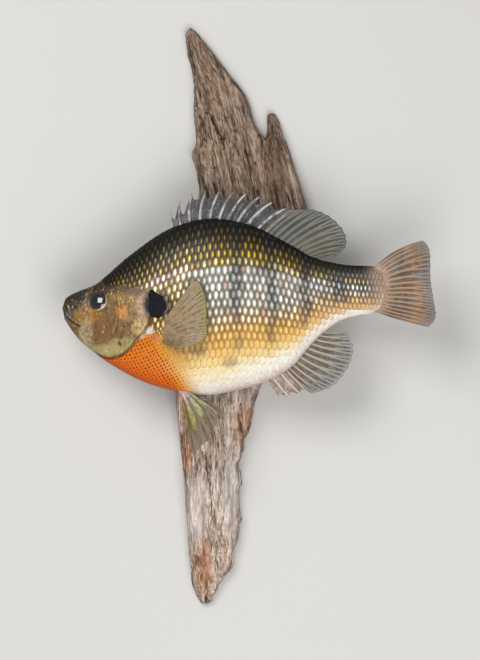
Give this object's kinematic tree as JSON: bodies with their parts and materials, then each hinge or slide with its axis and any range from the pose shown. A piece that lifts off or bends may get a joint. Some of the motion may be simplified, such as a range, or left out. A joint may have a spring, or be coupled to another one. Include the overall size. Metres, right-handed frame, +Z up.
{
  "type": "mounted bluegill sunfish on driftwood",
  "caption": "Wall-hung trophy mount: a life-size bluegill sunfish with raised fins and a swept tail, screwed to an upright splinter of grey driftwood.",
  "frame": {"origin": "on the sawn flat back of the driftwood, behind the middle of the fish", "axes": "+Z up along the driftwood, +X from the snout towards the tail, +Y into the wall, so -Y faces the room"},
  "size_m": [0.2651, 0.0706, 0.411],
  "materials": {
    "fish_skin": "clear lacquer over painted fish skin, satin to gloss",
    "ear_flap": "lacquered, satin",
    "fin": "thin dried web under lacquer, satin",
    "eye_glass": "domed glass eye, gloss",
    "driftwood": "weathered and dry, matte",
    "screw_steel": "plain wood screw"
  },
  "bodies": {
    "root": {"head": "fish_skin", "upper_jaw": "fish_skin", "lower_jaw": "fish_skin", "maxilla_left": "fish_skin", "maxilla_right": "fish_skin", "gill_cover_left": "fish_skin", "gill_cover_right": "fish_skin", "ear_flap_left": "ear_flap", "ear_flap_right": "ear_flap", "eye_left": "eye_glass", "eye_right": "eye_glass", "trunk": "fish_skin", "tail_peduncle": "fish_skin", "dorsal_fin_spiny": "fin", "dorsal_fin_soft": "fin", "anal_fin": "fin", "caudal_fin": "fin", "pectoral_fin_left": "fin", "pectoral_fin_right": "fin", "pelvic_fin_left": "fin", "pelvic_fin_right": "fin", "driftwood_panel": "driftwood", "mounting_screw_upper": "screw_steel", "mounting_screw_lower": "screw_steel"}
  },
  "joints": []
}
